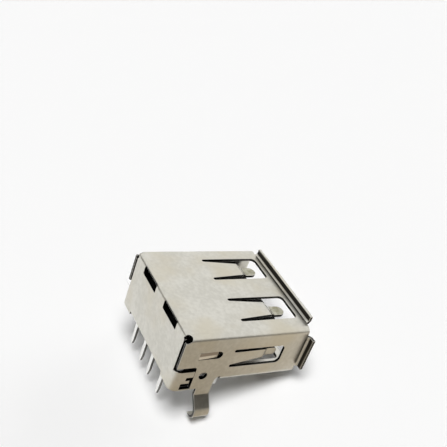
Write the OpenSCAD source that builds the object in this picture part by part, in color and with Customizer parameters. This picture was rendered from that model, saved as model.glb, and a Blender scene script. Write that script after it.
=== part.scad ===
// Right-angle board socket for a flat rectangular plug: a shell folded from one sheet of steel,
// a moulded insulator with a tongue, and four sprung contacts with tails that pass the board.
// Millimetres. +Z is up from the board, the mouth faces -Y, and the origin is on the board
// at the middle of the row of contact tails.

/* [Shell tube] */
// Outside width of the tube
shell_w = 13.1; // [12.8:0.1:13.8]
// Outside height of the tube
shell_h = 5.73; // [5.6:0.01:6.3]
// Distance from the rear face to the mouth face
shell_depth = 14; // [13.8:0.1:16]
// Height of the tube's underside above the board
board_gap = 0.7; // [0.5:0.05:1]
// Thickness of the sheet
sheet_t = 0.3; // [0.2:0.01:0.35]
// Outside radius of the four long bends
corner_r = 0.6; // [0.5:0.05:0.8]

/* [Mouth flanges] */
// How far each flange stands out from the tube
flange_h = 0.65; // [0.5:0.05:0.9]
// Inside radius of the flange bends
flange_r = 0.25; // [0.15:0.05:0.4]
// Distance from the long bends to each end of a flange
flange_end = 0.4; // [0.2:0.05:1]

/* [Bottom seam] */
// Gap of the seam between the two bottom halves
seam_gap = 0.08; // [0.05:0.01:0.15]
// Sideways throw of the interlocking step in the seam
seam_step = 0.42; // [0.3:0.02:0.6]
// Distance from the mouth face to the seam's jog
seam_lead = 1.6; // [1.2:0.05:2]
// Length over which the seam jogs sideways
seam_jog = 0.4; // [0.2:0.05:0.6]
// Length of the tab behind the jog
seam_tab = 1.2; // [0.8:0.05:1.6]

/* [Top and bottom fingers] */
// Width of a finger's window
window_w = 3.3; // [3:0.05:3.5]
// Distance from the rear face to the windows
window_z = 6.45; // [6.2:0.05:6.8]
// Distance from the mouth face back to the windows
window_front = 1.1; // [0.9:0.05:1.5]
// Radius of a window's front corners
window_r = 0.5; // [0.2:0.05:0.7]
// Middle of a top window from the centre line
top_window_x = 3.1; // [2.9:0.05:3.3]
// Middle of a bottom window from the centre line
bottom_window_x = 3; // [2.9:0.05:3.3]
// Width of a finger at its root
finger_root_w = 2.6; // [2.2:0.05:2.8]
// Width of a finger at its bend
finger_bend_w = 1.85; // [1.5:0.05:2.2]
// Width of the round-ended pad at a finger's tip
finger_pad_w = 1.25; // [0.9:0.05:1.4]
// Gap between a finger's tip and the front of its window
finger_tip_gap = 0.65; // [0.5:0.05:1.2]
// Length of a finger ahead of its bend
finger_nose = 2.15; // [1.8:0.05:2.4]
// How far a finger's pad dips into the cavity
finger_dip = 0.42; // [0.3:0.02:0.5]
// How far a finger sinks before its bend
finger_sag = 0.05; // [0.04:0.01:0.14]
// Slope between a finger's bend and its pad
finger_slope = 30; // [20:1:35]
// Middle radius of a finger's bends
finger_bend_r = 0.4; // [0.2:0.05:0.5]

/* [Side fingers] */
// Height of a side window
side_window_h = 2.18; // [1.8:0.02:2.4]
// Distance of a side window's middle below the tube's middle
side_window_drop = 0.06; // [0:0.01:0.15]
// Distance from the rear face to a side window
side_window_z = 5.52; // [5.3:0.02:6]
// Distance from the mouth face back to a side window
side_window_front = 2.8; // [2.5:0.05:3.2]
// Width of a side finger at its root
side_root_w = 1.5; // [1.2:0.05:1.7]
// Width of a side finger at its bend
side_bend_w = 1; // [0.9:0.05:1.4]
// Width of a side finger's pad
side_pad_w = 0.85; // [0.6:0.05:1]
// Gap between a side finger's tip and the front of its window
side_tip_gap = 0.45; // [0.3:0.05:0.8]
// Length of a side finger ahead of its bend
side_nose = 1.65; // [1.5:0.05:2]
// How far a side finger's pad dips into the cavity
side_dip = 0.5; // [0.4:0.02:0.56]
// How far a side finger sinks before its bend
side_sag = 0.3; // [0.1:0.02:0.32]

/* [Rear flap and wings] */
// Inside radius of the fold between top and rear flap
fold_r = 0.04; // [0.02:0.01:0.2]
// Gap between the flap's edges and the side walls
flap_gap = 0.28; // [0.1:0.02:0.4]
// Middle of each slot in the fold from the centre line
fold_slot_x = 2.58; // [2.3:0.02:2.9]
// Width of each slot in the fold
fold_slot_w = 3.07; // [2.6:0.01:3.4]
// Depth of each slot in the fold, down from the top
fold_slot_h = 1.08; // [0.8:0.02:1.3]
// Distance from the rear face to the top's edge above each slot
fold_slot_z = 0.1; // [0.05:0.01:0.2]
// Radius of the round relief at each end of the fold
relief_r = 0.36; // [0.3:0.02:0.5]
// Distance from the rear face to the middle of each relief
relief_z = 0.26; // [0.2:0.02:0.4]
// Height of the wings that wrap round the sides
wing_h = 2.25; // [2:0.05:2.6]
// Distance that the wings reach forward from the rear face
wing_l = 2.06; // [1.8:0.02:2.2]
// Outside radius of the wing bends
wing_r = 0.75; // [0.6:0.05:0.9]
// Gap between a wing's top and the side wall above it
wing_gap = 0.52; // [0.3:0.02:0.6]
// Gap between a wing's end and the side wall ahead of it
joint_gap = 0.03; // [0.02:0.01:0.15]
// Width of the shallow cut in the flap's lower edge
edge_cut_w = 8.5; // [8:0.1:9]
// Height of the shallow cut in the flap's lower edge
edge_cut_h = 0.35; // [0.2:0.05:0.5]
// Distance from a wing's bend to its notch
notch_inset = 0.2; // [0.1:0.05:0.3]
// Height of the notch's lower edge above the board
notch_y = 0.12; // [0.1:0.02:0.4]
// Height of the notch
notch_h = 1.42; // [1.3:0.02:1.6]
// Height of the notch below its tooth
notch_low = 0.7; // [0.5:0.05:0.75]
// Distance that the notch starts further forward above its tooth
notch_step = 0.4; // [0.2:0.05:0.5]
// Length of the tooth inside each wing's notch
tooth_l = 0.85; // [0.6:0.05:0.95]
// Height of the tooth inside each wing's notch
tooth_h = 0.36; // [0.3:0.02:0.44]

/* [Side walls and legs] */
// Distance from the rear face to a leg
leg_z = 2.85; // [2.5:0.05:3]
// Width of a leg
leg_w = 1.62; // [1.5:0.02:2]
// Straight drop of a leg below the board plane
leg_drop = 0.72; // [0.5:0.02:1]
// Angle at which a leg splays outwards
leg_splay = 42; // [30:1:50]
// Length of a leg's splayed stretch
leg_slant = 1.2; // [0.8:0.05:1.4]
// Angle at which a leg's toe turns back in
leg_toe_in = 62; // [20:1:80]
// Length of a leg's toe
leg_toe = 0.7; // [0.5:0.05:1]
// Middle radius of the bend where a leg splays
leg_bend_r = 0.35; // [0.25:0.05:0.5]
// Middle radius of the bend above a leg's toe
toe_bend_r = 0.75; // [0.4:0.05:0.9]
// Radius of the round corners of a leg's toe
toe_r = 0.45; // [0.2:0.05:0.7]
// Radius of the fillet ahead of a leg
leg_fillet = 0.55; // [0.3:0.05:0.7]
// Diameter of the hole above a leg
side_hole_d = 0.85; // [0.5:0.05:1]
// Distance from a leg's rear edge to the hole above it
side_hole_in = 0.2; // [0.1:0.05:0.6]
// Height of the hole above a leg
side_hole_y = 1.6; // [1.5:0.05:1.8]
// Distance from the rear face to the locking lance
lance_z = 1.85; // [1.6:0.05:2.1]
// Length of the locking lance
lance_l = 2; // [1.6:0.05:2.3]
// Height of the slot around the locking lance
lance_slot_h = 0.85; // [0.7:0.05:1.1]
// Width of the slit on either side of the locking lance
lance_slit = 0.03; // [0.02:0.01:0.1]
// Distance from the top down to the lance's middle
lance_drop = 2.31; // [2:0.02:2.6]
// Distance that the lance's tip is pressed in
lance_dip = 0.12; // [0.08:0.01:0.22]
// Middle radius of a lance's bend
lance_bend_r = 0.5; // [0.3:0.05:0.8]

/* [Insulator] */
// Gap between the insulator and the sheet around it
fit_gap = 0.05; // [0.02:0.01:0.08]
// Distance from the rear face to the front of the rear block
block_z = 2.1; // [1.9:0.05:2.5]
// Distance from the rear face to the straight front of the base
base_z = 5.65; // [5.4:0.05:6]
// Half width of the base's straight front
base_front_x = 4.2; // [3.8:0.1:4.6]
// Distance from the rear face to the tip of the locating key
key_z = 8.55; // [8:0.05:9]
// Gap between the tongue and each side wall
tongue_side = 0.7; // [0.6:0.05:0.9]
// Thickness of the tongue
tongue_t = 1.84; // [1.7:0.02:2]
// Distance from the shell's inner top to the tongue
tongue_drop = 0.68; // [0.6:0.02:0.8]
// Distance from the mouth face back to the tongue's tip
tongue_back = 2.4; // [2.1:0.1:3]
// Chamfer on the tongue's leading edge
tongue_bevel = 0.35; // [0.2:0.05:0.5]
// Distance from the rear face to the front of the hollow behind the fold
hollow_z = 1.6; // [1.2:0.05:1.7]
// Drop of the hollow's floor below the slots in the fold
hollow_drop = 1.2; // [0.6:0.1:1.6]
// Width of the buttress at each side, ahead of the rear block
buttress_w = 0.8; // [0.6:0.05:1]
// Distance from the rear face to the front of each buttress
buttress_z = 3.3; // [2.8:0.05:3.5]
// Height of each buttress above the board
buttress_h = 1.45; // [1.3:0.05:1.6]
// Depth of the pockets behind the wings and lances
pocket_depth = 0.9; // [0.6:0.05:1.1]
// Rise of the pockets above the gap over a wing
pocket_rise = 0.3; // [0.1:0.05:0.4]

/* [Contacts] */
// Thickness of the contact strip
contact_t = 0.25; // [0.2:0.01:0.3]
// Width of the contact strip
contact_w = 0.7; // [0.6:0.02:0.8]
// Distance between the two inner contacts
inner_pitch = 2; // [1.9:0.1:2.1]
// Distance from an inner to an outer contact
outer_pitch = 2.5; // [2.4:0.1:2.6]
// Gap between a contact and its channel
channel_gap = 0.05; // [0.03:0.01:0.08]
// Distance from the rear face to the row of tails
tail_z = 0.9; // [0.8:0.02:1]
// Length of the tails below the board plane
tail_l = 3.3; // [2.8:0.1:3.6]
// Width of the tails
tail_w = 0.5; // [0.4:0.02:0.6]
// Length of the taper at a tail's tip
tail_taper = 0.7; // [0.4:0.05:1]
// Width of a tail's blunt tip
tail_tip_w = 0.22; // [0.15:0.01:0.3]
// Depth of the beam's middle inside the tongue
beam_sink = 0.36; // [0.3:0.02:0.5]
// Drop of the contact bump's middle below the tongue
bump_drop = 0.3; // [0.2:0.02:0.5]
// Distance from the tongue's tip back to the bump
bump_back = 1.9; // [1.7:0.05:2.5]
// Distance from the tongue's bevel back to the front of the grooves
groove_land = 0.15; // [0.1:0.05:0.3]
// Gap between a contact's tip and the front of its groove
tip_gap = 0.25; // [0.15:0.05:0.4]
// Angle of the upturned contact tip
tip_angle = 24; // [15:1:30]
// Length of the level beam ahead of the rear block
beam_lead = 0.9; // [0.6:0.1:1.2]
// Middle radius of the bend at the top of the riser
riser_r = 0.35; // [0.25:0.05:0.5]
// Middle radius of the beam's gentle bends
beam_bend_r = 0.8; // [0.5:0.1:1]

/* [Hidden] */
$fn = 48;
// Largest turn in degrees between neighbouring points of a spring's bend
bend_step = 6;
// Extra length of every cut beyond the face that it breaks
over = 1;
// Length over which a bent strip lies inside the flat sheet that it grows from
root = 0.4;
half_w = shell_w / 2;
tube_bottom = board_gap;
tube_top = board_gap + shell_h;
mid_y = (tube_bottom + tube_top) / 2;
inner_half_w = half_w - sheet_t;
inner_bottom = tube_bottom + sheet_t;
inner_top = tube_top - sheet_t;
// Where the tube ends and the flange bends begin
mouth_z = shell_depth - flange_r - sheet_t;
wide_flange_l = shell_w - 2 * (corner_r + flange_end);
side_flange_l = shell_h - 2 * (corner_r + flange_end);
window_l = shell_depth - window_front - window_z;
// Radius of the round rear ends of the slits beside a finger
slit_r = (window_w - finger_root_w) / 4;
finger_l = window_l - finger_tip_gap - slit_r;
finger_reach = finger_l - finger_nose;
side_window_l = shell_depth - side_window_front - side_window_z;
side_slit_r = (side_window_h - side_root_w) / 4;
side_finger_l = side_window_l - side_tip_gap - side_slit_r;
side_reach = side_finger_l - side_nose;
// Outside radius of the fold
fold_out = fold_r + sheet_t;
side_wall_y = wing_h + wing_gap;
side_wall_z = wing_l + joint_gap;
// Radius of the round front end of the gap over a wing
wall_r = wing_gap / 2;
flap_half_w = inner_half_w - flap_gap;
notch_z = wing_r + notch_inset;
leg_front_z = leg_z + leg_w;
corner_rear_z = leg_front_z + leg_fillet;
lance_y = tube_top - lance_drop;
side_window_y = mid_y - side_window_drop;
// The gap for the locating key joins the inner slots of the bottom fingers
key_x = bottom_window_x - window_w / 2;
tongue_half_w = inner_half_w - tongue_side;
tongue_z = shell_depth - tongue_back;
tongue_top = inner_top - tongue_drop;
tongue_bottom = tongue_top - tongue_t;
groove_front = tongue_z - tongue_bevel - groove_land;
beam_y = tongue_bottom + beam_sink;
bump_y = tongue_bottom - bump_drop;
bump_z = tongue_z - bump_back;
slope_z = block_z + beam_lead;
beam_slope = atan((beam_y - bump_y) / (bump_z - slope_z));
contact_x = [
    -inner_pitch / 2 - outer_pitch,
    -inner_pitch / 2,
    inner_pitch / 2,
    inner_pitch / 2 + outer_pitch
];

// Every shape is drawn with x across, y up and z as the distance from the rear face to the mouth.
// This places it in the part's frame, with the mouth towards -Y and the tails at Y = 0.
module seated() {
    translate([0, tail_z, 0])
        rotate([90, 0, 0])
            children();
}

// A front section drawn as (x, y), carried from z0 to z1
module along(z0, z1) {
    translate([0, 0, z0])
        linear_extrude(z1 - z0)
            children();
}

// A side profile drawn as (z, y), carried from x0 to x1
module across(x0, x1) {
    translate([x1, 0, 0])
        rotate([0, -90, 0])
            linear_extrude(x1 - x0)
                children();
}

// A plan drawn as (x, z), carried from y0 up to y1
module upright(y0, y1) {
    translate([0, y1, 0])
        rotate([90, 0, 0])
            linear_extrude(y1 - y0)
                children();
}

module both_sides() {
    children();
    mirror([1, 0, 0])
        children();
}

// Sheet features are drawn lying face up at y = 0, and these put them on a wall of the tube
module on_top(x) {
    translate([x, tube_top, 0])
        children();
}

module on_bottom(x) {
    translate([x, tube_bottom, 0])
        mirror([0, 1, 0])
            children();
}

module on_side(y) {
    translate([half_w, y, 0])
        rotate([0, 0, -90])
            children();
}

module rounded_rect(w, h, r) {
    translate([-w / 2 + r, 0])
        square([w - 2 * r, h]);
    translate([-w / 2, r])
        square([w, h - 2 * r]);
    for (x = [-w / 2 + r, w / 2 - r], y = [r, h - r])
        translate([x, y])
            circle(r);
}

// A sheet edge that leaves the origin along +x, turns left through a right angle and runs on
module right_angle(lead, r, tail) {
    translate([0, -sheet_t / 2])
        square([lead, sheet_t]);
    translate([lead, r])
        intersection() {
            difference() {
                circle(r + sheet_t / 2);
                circle(r - sheet_t / 2);
            }
            translate([0, -2 * r])
                square(2 * r);
        }
    translate([lead + r - sheet_t / 2, r])
        square([sheet_t, tail]);
}

// Springs and legs follow straight runs and bends, each [length, turn to the left, middle radius].
// A place on the strip is [x, y, heading], and this is the place after one run and its bend.
function after_run(at, run) =
    let (
        side = sign(run[1]),
        end = [at[0], at[1]] + run[0] * [cos(at[2]), sin(at[2])],
        centre = end + side * run[2] * [-sin(at[2]), cos(at[2])],
        heading = at[2] + run[1],
        place = centre + side * run[2] * [sin(heading), -cos(heading)]
    )
    [place[0], place[1], heading];

// The edge of a strip that lies d to the left of its middle, with bends as arcs
function strip_edge(runs, d, at, i = 0) =
    i == len(runs) ? [] :
    let (
        run = runs[i],
        left = [-sin(at[2]), cos(at[2])],
        middle = [at[0], at[1]],
        end = middle + run[0] * [cos(at[2]), sin(at[2])],
        side = sign(run[1]),
        centre = end + side * run[2] * left,
        steps = ceil(abs(run[1]) / bend_step),
        arc = [
            for (k = [0:steps])
                let (heading = at[2] + run[1] * k / steps)
                centre + (side * run[2] - d) * [sin(heading), -cos(heading)]
        ]
    )
    concat(
        i == 0 ? [middle + d * left] : [],
        run[1] == 0 ? [end + d * left] : arc,
        strip_edge(runs, d, after_run(at, run), i + 1)
    );

function backwards(points) = [for (k = [len(points) - 1:-1:0]) points[k]];

// A bent strip of thickness t that starts at the origin in the given direction
module bent_strip(runs, t, heading = 0) {
    at = [0, 0, heading];
    polygon(concat(strip_edge(runs, -t / 2, at), backwards(strip_edge(runs, t / 2, at))));
}

// A narrow band along straight lines between points, with round joints
module band(points, w) {
    for (i = [0:len(points) - 2]) {
        line = points[i + 1] - points[i];
        translate(points[i])
            rotate(atan2(line[1], line[0]))
                translate([0, -w / 2])
                    square([norm(line), w]);
        translate(points[i + 1])
            circle(w / 2);
    }
}

// Distance from the rear face to the slanted corner that the bottom halves leave for the base
function base_edge_z(x) =
    corner_rear_z + (base_z - corner_rear_z) * (half_w - x) / (half_w - base_front_x);

// The part of the underside that has no sheet, as a plan
module underside_opening() {
    polygon([
        [half_w + over, -over],
        [half_w + over, corner_rear_z],
        [half_w, corner_rear_z],
        [base_front_x, base_z],
        [key_x, base_z],
        [key_x, key_z],
        [-key_x, key_z],
        [-key_x, base_z],
        [-base_front_x, base_z],
        [-half_w, corner_rear_z],
        [-half_w - over, corner_rear_z],
        [-half_w - over, -over]
    ]);
}

// Top, sides and bottom with their four long bends
module tube() {
    difference() {
        along(0, mouth_z)
            translate([0, tube_bottom])
                difference() {
                    rounded_rect(shell_w, shell_h, corner_r);
                    translate([0, sheet_t])
                        rounded_rect(shell_w - 2 * sheet_t, shell_h - 2 * sheet_t, corner_r - sheet_t);
                }
        upright(tube_bottom - over, tube_bottom + corner_r)
            underside_opening();
        along(-over, fold_out)
            translate([-half_w - over, tube_top - corner_r])
                square([shell_w + 2 * over, corner_r + over]);
        across(-half_w - over, half_w + over)
            wall_cut();
    }
}

// The rear of the side walls that the wings fill, with a round upper corner, as a side profile
module wall_cut() {
    translate([-over, tube_bottom - over])
        square([side_wall_z + over, side_wall_y - wall_r - tube_bottom + over]);
    translate([-over, side_wall_y - 2 * wall_r])
        square([side_wall_z - wall_r + over, 2 * wall_r]);
    translate([side_wall_z - wall_r, side_wall_y - wall_r])
        circle(wall_r);
}

// A flange bent outwards at the mouth, face up
module flange(length) {
    across(-length / 2, length / 2)
        translate([mouth_z - root, -sheet_t / 2])
            right_angle(root, flange_r + sheet_t / 2, flange_h - flange_r);
}

// The window that a finger is cut free in, face up, with round corners at the front and two slits
// with round ends at the rear
module finger_window(w, z, length, r, end_r) {
    upright(-sheet_t - over, over)
        translate([0, z]) {
            translate([-w / 2, end_r])
                square([w, length - r - end_r]);
            translate([-w / 2 + r, end_r])
                square([w - 2 * r, length - end_r]);
            for (x = [-w / 2 + r, w / 2 - r])
                translate([x, length - r])
                    circle(r);
            for (x = [-w / 2 + end_r, w / 2 - end_r])
                translate([x, end_r])
                    circle(end_r);
        }
}

// A tapered spring finger that dips into the cavity and ends in a round pad, face up
module finger(root_w, bend_w, pad_w, z, reach, length, dip, sag) {
    sag_angle = asin(sag / reach);
    drop = dip - sag - 2 * finger_bend_r * (1 - cos(finger_slope));
    slope_l = drop / sin(finger_slope);
    pad_start = reach + 2 * finger_bend_r * sin(finger_slope) + slope_l * cos(finger_slope);
    shoulder = reach + finger_bend_r * sin(finger_slope);
    runs = [
        [root, -sag_angle, finger_bend_r],
        [reach, sag_angle - finger_slope, finger_bend_r],
        [slope_l, finger_slope, finger_bend_r],
        [length - pad_start, 0, 0]
    ];
    translate([0, 0, z])
        intersection() {
            across(-root_w, root_w)
                translate([-root, -sheet_t / 2])
                    bent_strip(runs, sheet_t);
            upright(-dip - 2 * sheet_t, sheet_t) {
                polygon([
                    [-root_w / 2, -root],
                    [root_w / 2, -root],
                    [root_w / 2, 0],
                    [bend_w / 2, reach],
                    [bend_w / 2, shoulder],
                    [-bend_w / 2, shoulder],
                    [-bend_w / 2, reach],
                    [-root_w / 2, 0]
                ]);
                translate([-pad_w / 2, reach])
                    square([pad_w, length - pad_w / 2 - reach]);
                translate([0, length - pad_w / 2])
                    circle(pad_w / 2);
            }
        }
}

module wide_finger() {
    finger(finger_root_w, finger_bend_w, finger_pad_w, window_z + slit_r, finger_reach, finger_l,
        finger_dip, finger_sag);
}

module side_finger() {
    finger(side_root_w, side_bend_w, side_pad_w, side_window_z + side_slit_r, side_reach, side_finger_l,
        side_dip, side_sag);
}

// The stepped seam where the two bottom halves meet
module seam() {
    jog_z = shell_depth - seam_lead;
    tab_front_z = jog_z - seam_jog;
    tab_rear_z = tab_front_z - seam_tab;
    upright(tube_bottom - flange_h - over, inner_bottom + over)
        band([
            [0, shell_depth + over],
            [0, jog_z],
            [-seam_step, tab_front_z],
            [-seam_step, tab_rear_z],
            [seam_step, tab_rear_z],
            [seam_step, key_z - over]
        ], seam_gap);
}

// The rear wall, folded down from the top between the side walls
module rear_flap() {
    difference() {
        across(-flap_half_w, flap_half_w)
            translate([fold_out + root, tube_top - sheet_t / 2])
                rotate(180)
                    right_angle(root, fold_out - sheet_t / 2, tube_top - fold_out);
        both_sides()
            translate([fold_slot_x - fold_slot_w / 2, tube_top - fold_slot_h, 0]) {
                along(-over, fold_slot_z)
                    square([fold_slot_w, fold_slot_h + over]);
                along(-over, fold_out)
                    square([fold_slot_w, fold_slot_h - sheet_t]);
            }
        both_sides()
            along(-over, fold_out)
                translate([half_w - wing_r, -over])
                    square([wing_r + over, wing_h + over]);
        along(-over, fold_out)
            translate([-edge_cut_w / 2, -over])
                square([edge_cut_w, edge_cut_h + over]);
    }
}

// One wing of the rear flap, wrapped round to lie in the side wall's plane, with a toothed notch
module wing() {
    difference() {
        upright(0, wing_h)
            translate([half_w - wing_r - root, sheet_t / 2])
                right_angle(root, wing_r - sheet_t / 2, wing_l - wing_r);
        across(half_w - sheet_t - over, half_w + over)
            difference() {
                translate([notch_z, notch_y])
                    square([wing_l - notch_z + over, notch_h]);
                translate([notch_z - over, notch_y + notch_low])
                    square([over + tooth_l, tooth_h]);
                translate([notch_z - over, notch_y + notch_low])
                    square([over + notch_step, notch_h]);
            }
    }
}

// The flat of the side wall that runs down into a leg, as a side profile
module leg_wall() {
    wall_y = tube_bottom + corner_r;
    translate([side_wall_z, 0])
        square([leg_front_z - side_wall_z, wall_y + root]);
    translate([leg_front_z - root, wall_y - leg_fillet])
        difference() {
            square([root + leg_fillet, leg_fillet + root]);
            translate([root + leg_fillet, 0])
                circle(leg_fillet);
        }
}

// One leg: straight through the board plane, splayed outwards, with a round-cornered toe
module leg() {
    runs = [
        [root + leg_drop, leg_splay, leg_bend_r],
        [leg_slant, -leg_splay - leg_toe_in, toe_bend_r],
        [leg_toe, 0, 0]
    ];
    fall = leg_drop + leg_bend_r * sin(leg_splay) + leg_slant * cos(leg_splay)
        + toe_bend_r * (sin(leg_splay) + sin(leg_toe_in)) + leg_toe * cos(leg_toe_in)
        + sheet_t / 2 * sin(leg_toe_in);
    across(inner_half_w, half_w)
        leg_wall();
    intersection() {
        along(leg_z, leg_front_z)
            translate([half_w - sheet_t / 2, root])
                bent_strip(runs, sheet_t, -90);
        across(0, shell_w)
            translate([leg_z + leg_w / 2, -fall])
                rounded_rect(leg_w, fall + 2 * root, toe_r);
    }
}

// The slot around a locking lance, as a side profile with a round front end
module lance_slot() {
    nose_r = lance_slot_h / 2;
    translate([lance_z, lance_y - nose_r])
        square([lance_l + lance_slit, lance_slot_h]);
    translate([lance_z + lance_l + lance_slit, lance_y])
        circle(nose_r);
}

// A locking lance, pressed in at its tip, face up
module lance() {
    lance_w = lance_slot_h - 2 * lance_slit;
    angle = asin(lance_dip / lance_l);
    runs = [
        [root, -angle, lance_bend_r],
        [lance_l - lance_bend_r * sin(angle), 0, 0]
    ];
    across(-lance_w / 2, lance_w / 2)
        translate([lance_z - root, -sheet_t / 2])
            bent_strip(runs, sheet_t);
}

module shell_cuts() {
    both_sides() {
        on_top(top_window_x)
            finger_window(window_w, window_z, window_l, window_r, slit_r);
        on_bottom(bottom_window_x)
            finger_window(window_w, window_z, window_l, window_r, slit_r);
        on_side(side_window_y)
            finger_window(side_window_h, side_window_z, side_window_l, window_r, side_slit_r);
        across(inner_half_w - over, half_w + over) {
            translate([leg_z + side_hole_in, side_hole_y])
                circle(d = side_hole_d);
            lance_slot();
        }
        translate([half_w - corner_r, tube_top - corner_r, relief_z])
            rotate([0, 0, 45])
                rotate([0, 90, 0])
                    cylinder(r = relief_r, h = corner_r + over);
    }
    seam();
}

module shell() {
    color("silver")
        seated() {
            difference() {
                union() {
                    tube();
                    rear_flap();
                    on_top(0)
                        flange(wide_flange_l);
                    on_bottom(0)
                        flange(wide_flange_l);
                    both_sides() {
                        on_side(mid_y)
                            flange(side_flange_l);
                        wing();
                        leg();
                    }
                }
                shell_cuts();
            }
            both_sides() {
                on_top(top_window_x)
                    wide_finger();
                on_bottom(bottom_window_x)
                    wide_finger();
                on_side(side_window_y)
                    side_finger();
                on_side(lance_y)
                    lance();
            }
        }
}

// The base that lies on the board, as a plan
module base_plan() {
    half = inner_half_w - fit_gap;
    rear_r = wing_r - sheet_t - fit_gap;
    rear = sheet_t + fit_gap;
    front = base_z - fit_gap;
    bend = base_front_x - fit_gap;
    polygon([
        [-half, rear + rear_r],
        [half, rear + rear_r],
        [half, base_edge_z(half) - fit_gap],
        [bend, front],
        [-bend, front],
        [-half, base_edge_z(half) - fit_gap]
    ]);
    rear_edge(half, rear, rear_r);
}

// A straight rear edge with round corners, as a plan
module rear_edge(half, rear, r) {
    translate([-half + r, rear])
        square([2 * (half - r), 2 * r]);
    for (x = [-half + r, half - r])
        translate([x, rear + r])
            circle(r);
}

// The block that fills the rear of the shell and holds the contacts
module block() {
    half = inner_half_w - fit_gap;
    rear_r = wing_r - sheet_t - fit_gap;
    rear = sheet_t + fit_gap;
    top_r = corner_r - sheet_t;
    intersection() {
        along(rear, block_z)
            translate([0, -top_r])
                rounded_rect(2 * half, inner_top - fit_gap + top_r, top_r);
        upright(0, tube_top) {
            rear_edge(half, rear, rear_r);
            translate([-half, rear + rear_r])
                square([2 * half, block_z - rear]);
        }
    }
}

// The tongue, with a bevelled leading edge
module tongue() {
    across(-tongue_half_w, tongue_half_w)
        polygon([
            [block_z - root, tongue_bottom],
            [tongue_z - tongue_bevel, tongue_bottom],
            [tongue_z, tongue_bottom + tongue_bevel],
            [tongue_z, tongue_top - tongue_bevel],
            [tongue_z - tongue_bevel, tongue_top],
            [block_z - root, tongue_top]
        ]);
}

// The side profile of a contact above the board, widened by a clearance on each face
module contact_profile(clear) {
    slope_l = (bump_z - slope_z) / cos(beam_slope) - 2 * beam_bend_r * tan(beam_slope);
    tip_l = (groove_front - tip_gap - bump_z) / cos(tip_angle) - beam_bend_r * tan(tip_angle);
    runs = [
        [beam_y - riser_r, -90, riser_r],
        [slope_z - tail_z - riser_r, -beam_slope, beam_bend_r],
        [slope_l, beam_slope + tip_angle, beam_bend_r],
        [tip_l, 0, 0]
    ];
    translate([tail_z, 0])
        bent_strip(runs, contact_t + 2 * clear, 90);
}

// The room that one contact takes in the insulator: its own path, the slot that it is pushed in by
// from the rear, and an open groove under the tongue
module channel() {
    half = contact_w / 2 + channel_gap;
    ceiling = beam_y + contact_t / 2 + channel_gap;
    across(-half, half) {
        contact_profile(channel_gap);
        translate([-over, -over])
            square([tail_z + over, ceiling + over]);
        translate([0, -over])
            square([tail_z + contact_t / 2 + channel_gap, 2 * over]);
        translate([block_z, tongue_bottom - over])
            square([groove_front - block_z, ceiling - tongue_bottom + over]);
    }
}

// Pockets in the insulator's sides, behind a wing's notch and the gap above it, and behind a lance
module side_pockets() {
    across(inner_half_w - pocket_depth, half_w) {
        translate([notch_z, notch_y])
            square([side_wall_z - notch_z, side_wall_y + pocket_rise - notch_y]);
        translate([lance_z - fit_gap, lance_y - lance_slot_h / 2])
            square([block_z, lance_slot_h]);
    }
}

// A buttress that stands on the base, close inside each side wall
module buttress() {
    half = inner_half_w - fit_gap;
    across(half - buttress_w, half)
        translate([block_z - root, 0])
            square([buttress_z - block_z + root, buttress_h]);
}

// The hollow behind the slots in the fold
module fold_hollow() {
    across(-half_w, half_w)
        translate([0, tube_top - fold_slot_h - hollow_drop])
            square([hollow_z, fold_slot_h + hollow_drop + over]);
}

module insulator() {
    color("white")
        seated()
            difference() {
                union() {
                    block();
                    upright(0, inner_bottom)
                        base_plan();
                    upright(tube_bottom, inner_bottom)
                        translate([-key_x + fit_gap, base_z - root])
                            square([2 * (key_x - fit_gap), key_z - base_z + root - fit_gap]);
                    tongue();
                    both_sides()
                        buttress();
                }
                for (x = contact_x)
                    translate([x, 0, 0])
                        channel();
                fold_hollow();
                both_sides()
                    side_pockets();
            }
}

// One contact: a flat tail with a tapered tip, a riser, and a sprung beam under the tongue
module contact(x) {
    tail_top = root;
    color("gold")
        seated()
            translate([x, 0, 0]) {
                across(-contact_w / 2, contact_w / 2)
                    contact_profile(0);
                along(tail_z - contact_t / 2, tail_z + contact_t / 2)
                    polygon([
                        [-tail_w / 2, tail_top],
                        [-tail_w / 2, tail_taper - tail_l],
                        [-tail_tip_w / 2, -tail_l],
                        [tail_tip_w / 2, -tail_l],
                        [tail_w / 2, tail_taper - tail_l],
                        [tail_w / 2, tail_top]
                    ]);
            }
}

shell();
insulator();
contact(contact_x[0]);  // contact_1
contact(contact_x[1]);  // contact_2
contact(contact_x[2]);  // contact_3
contact(contact_x[3]);  // contact_4
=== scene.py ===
"""Looks of a right-angle board socket: a plated sheet shell, a white moulding and gilt contacts."""
import logging
import math
from dataclasses import dataclass
from enum import Enum
from typing import Any

import bmesh
import bpy
import numpy as np
from mathutils import Matrix, Vector
from mathutils.bvhtree import BVHTree


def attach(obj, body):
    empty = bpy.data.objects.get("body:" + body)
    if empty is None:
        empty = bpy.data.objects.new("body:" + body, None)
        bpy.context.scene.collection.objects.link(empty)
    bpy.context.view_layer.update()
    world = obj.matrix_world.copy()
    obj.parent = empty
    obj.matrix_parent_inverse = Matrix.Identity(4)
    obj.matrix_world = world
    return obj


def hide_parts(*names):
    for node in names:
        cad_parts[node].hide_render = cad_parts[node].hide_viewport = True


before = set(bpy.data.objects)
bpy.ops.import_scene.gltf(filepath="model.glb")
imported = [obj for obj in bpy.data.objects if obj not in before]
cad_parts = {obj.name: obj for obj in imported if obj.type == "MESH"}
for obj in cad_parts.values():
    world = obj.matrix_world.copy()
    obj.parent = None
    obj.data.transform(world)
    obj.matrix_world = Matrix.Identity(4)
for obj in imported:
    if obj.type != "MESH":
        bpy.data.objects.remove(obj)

MM = 0.001
TINY = 1e-9
BODY = "root"
CONTACTS = 4
OPENNESS = "openness"
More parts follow.
